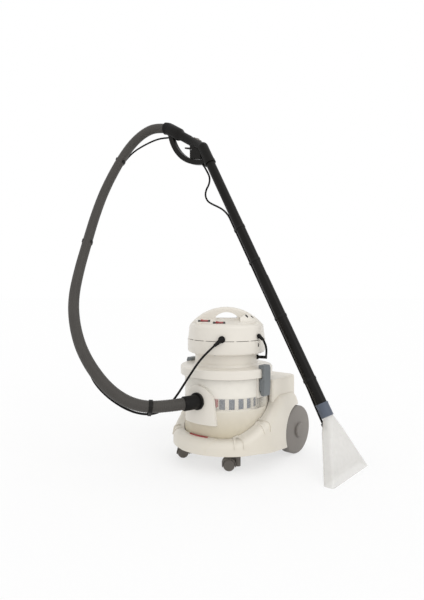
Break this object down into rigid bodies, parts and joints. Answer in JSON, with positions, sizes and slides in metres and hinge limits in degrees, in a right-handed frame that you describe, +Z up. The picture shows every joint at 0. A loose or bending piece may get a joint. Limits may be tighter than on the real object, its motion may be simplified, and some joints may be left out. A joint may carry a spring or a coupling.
{
  "type": "carpet cleaner machine",
  "caption": "Drum carpet cleaner on a wheeled base with a clear recovery drum, domed motor head, ribbed suction hose, spray wand and a fishtail nozzle.",
  "frame": {"origin": "on the floor, on the axis of the drum", "axes": "+Z up, -Y towards the hose inlet, +Y towards the rear wheels, +X towards the nozzle"},
  "size_m": [1.0258, 0.6692, 1.2522],
  "materials": {
    "chassis_cream": "satin moulded plastic",
    "shell_white": "smooth moulded plastic",
    "drum_clear": "translucent moulded plastic",
    "tank_cream": "satin moulded plastic",
    "wheel_grey": "satin",
    "hub_grey": "satin",
    "black_plastic": "satin",
    "black_rubber": "matte",
    "latch_grey": "satin",
    "red_plastic": "smooth",
    "hose_grey": "satin ribbed",
    "tube_black": "smooth",
    "steel": "turned",
    "aluminium": "pressed",
    "filter_cloth": "matte cloth",
    "nozzle_clear": "translucent moulded plastic"
  },
  "bodies": {
    "machine": {"chassis": "chassis_cream", "front_strip": "red_plastic", "wheel_axle": "steel", "drum": "drum_clear", "inlet_shield": "shell_white", "inlet_spigot": "black_plastic", "machine_cuff": "black_rubber", "filter_basket": "shell_white", "filter_cartridge": "filter_cloth", "drum_seal": "black_rubber", "head_lower_shell": "shell_white", "head_upper_shell": "shell_white", "seam_ring": "black_plastic", "switch_bezels": "black_plastic", "motor_deck": "black_plastic", "fan_housing": "steel", "motor_body": "steel", "pump_body": "black_plastic", "tube_fitting": "black_plastic", "solution_tank": "tank_cream", "latch_pins": "steel", "head_screws": "steel", "wand_handle": "black_plastic", "handle_cuff": "black_rubber", "trigger_valve": "black_plastic", "trigger_pin": "steel", "wand_upper_tube": "black_plastic", "wand_lower_tube": "black_plastic", "nozzle_collar": "latch_grey", "nozzle_body": "nozzle_clear", "nozzle_jet": "black_plastic", "wand_clips": "black_plastic", "hose_straps": "black_plastic", "suction_hose": "hose_grey", "spray_tube": "tube_black", "tank_tube": "tube_black", "wand_tube": "tube_black", "front_gland": "black_rubber", "side_gland": "black_rubber", "mains_gland": "black_rubber", "latch_bracket_left": "shell_white", "latch_bracket_right": "shell_white"},
    "wheel_left": {"wheel_left": "wheel_grey", "hub_cap_left": "hub_grey"},
    "wheel_right": {"wheel_right": "wheel_grey", "hub_cap_right": "hub_grey"},
    "caster_left": {"caster_yoke_left": "black_plastic"},
    "caster_right": {"caster_yoke_right": "black_plastic"},
    "caster_left_roll": {"caster_wheels_left": "wheel_grey"},
    "caster_right_roll": {"caster_wheels_right": "wheel_grey"},
    "latch_left": {"latch_left": "latch_grey"},
    "latch_right": {"latch_right": "latch_grey"},
    "rocker_suction": {"rocker_suction": "red_plastic"},
    "rocker_spray": {"rocker_spray": "red_plastic"},
    "trigger": {"trigger_lever": "black_plastic"},
    "air_slide": {"air_slider": "wheel_grey"},
    "filler_cap": {"tank_cap": "latch_grey"},
    "float": {"float_block": "red_plastic"},
    "fan": {"fan_rotor": "aluminium"}
  },
  "joints": [
    {"name": "wheel_left_spin", "type": "hinge", "parent": "machine", "child": "wheel_left", "pos_m": [-0.142, 0.196, 0.0825], "axis": [1, 0, 0], "continuous": true},
    {"name": "caster_left_swivel", "type": "hinge", "parent": "machine", "child": "caster_left", "pos_m": [-0.098, -0.068, 0.05], "axis": [0, 0, 1], "continuous": true},
    {"name": "caster_left_spin", "type": "hinge", "parent": "caster_left", "child": "caster_left_roll", "pos_m": [-0.11961, -0.08581, 0.01825], "axis": [0.6361, -0.7716, 0], "continuous": true},
    {"name": "latch_left_pivot", "type": "hinge", "parent": "machine", "child": "latch_left", "pos_m": [-0.15, 0, 0.246], "axis": [0, -1, 0], "range_deg": [0, 30]},
    {"name": "wheel_right_spin", "type": "hinge", "parent": "machine", "child": "wheel_right", "pos_m": [0.142, 0.196, 0.0825], "axis": [1, 0, 0], "continuous": true},
    {"name": "caster_right_swivel", "type": "hinge", "parent": "machine", "child": "caster_right", "pos_m": [0.098, -0.068, 0.05], "axis": [0, 0, 1], "continuous": true},
    {"name": "caster_right_spin", "type": "hinge", "parent": "caster_right", "child": "caster_right_roll", "pos_m": [0.0764, -0.08581, 0.01825], "axis": [0.6361, -0.7716, 0], "continuous": true},
    {"name": "latch_right_pivot", "type": "hinge", "parent": "machine", "child": "latch_right", "pos_m": [0.15, 0, 0.246], "axis": [0, 1, 0], "range_deg": [0, 30]},
    {"name": "rocker_suction_pivot", "type": "hinge", "parent": "machine", "child": "rocker_suction", "pos_m": [-0.02019, -0.09341, 0.4632], "axis": [-0.6291, 0.7632, 0.1473], "range_deg": [-14, 0]},
    {"name": "rocker_spray_pivot", "type": "hinge", "parent": "machine", "child": "rocker_spray", "pos_m": [0.03542, -0.08385, 0.45903], "axis": [-0.6291, 0.7632, 0.1473], "range_deg": [-14, 0]},
    {"name": "trigger_pivot", "type": "hinge", "parent": "machine", "child": "trigger", "pos_m": [-0.25, 0.109, 1.112], "axis": [0, 1, 0], "range_deg": [0, 9], "stiffness_Nm_per_rad": 0.06, "springref_deg": -17.19},
    {"name": "air_slide_travel", "type": "slide", "parent": "machine", "child": "air_slide", "axis": [-0.8599, 0, 0.5105], "range_m": [0, 0.012]},
    {"name": "filler_cap_turn", "type": "hinge", "parent": "machine", "child": "filler_cap", "pos_m": [0, 0.185, 0.272], "axis": [0, 0, 1], "range_deg": [0, 90]},
    {"name": "float_rise", "type": "slide", "parent": "machine", "child": "float", "axis": [0, 0, 1], "range_m": [0, 0.02]},
    {"name": "fan_spin", "type": "hinge", "parent": "machine", "child": "fan", "pos_m": [0, 0, 0.34], "axis": [0, 0, 1], "continuous": true}
  ]
}
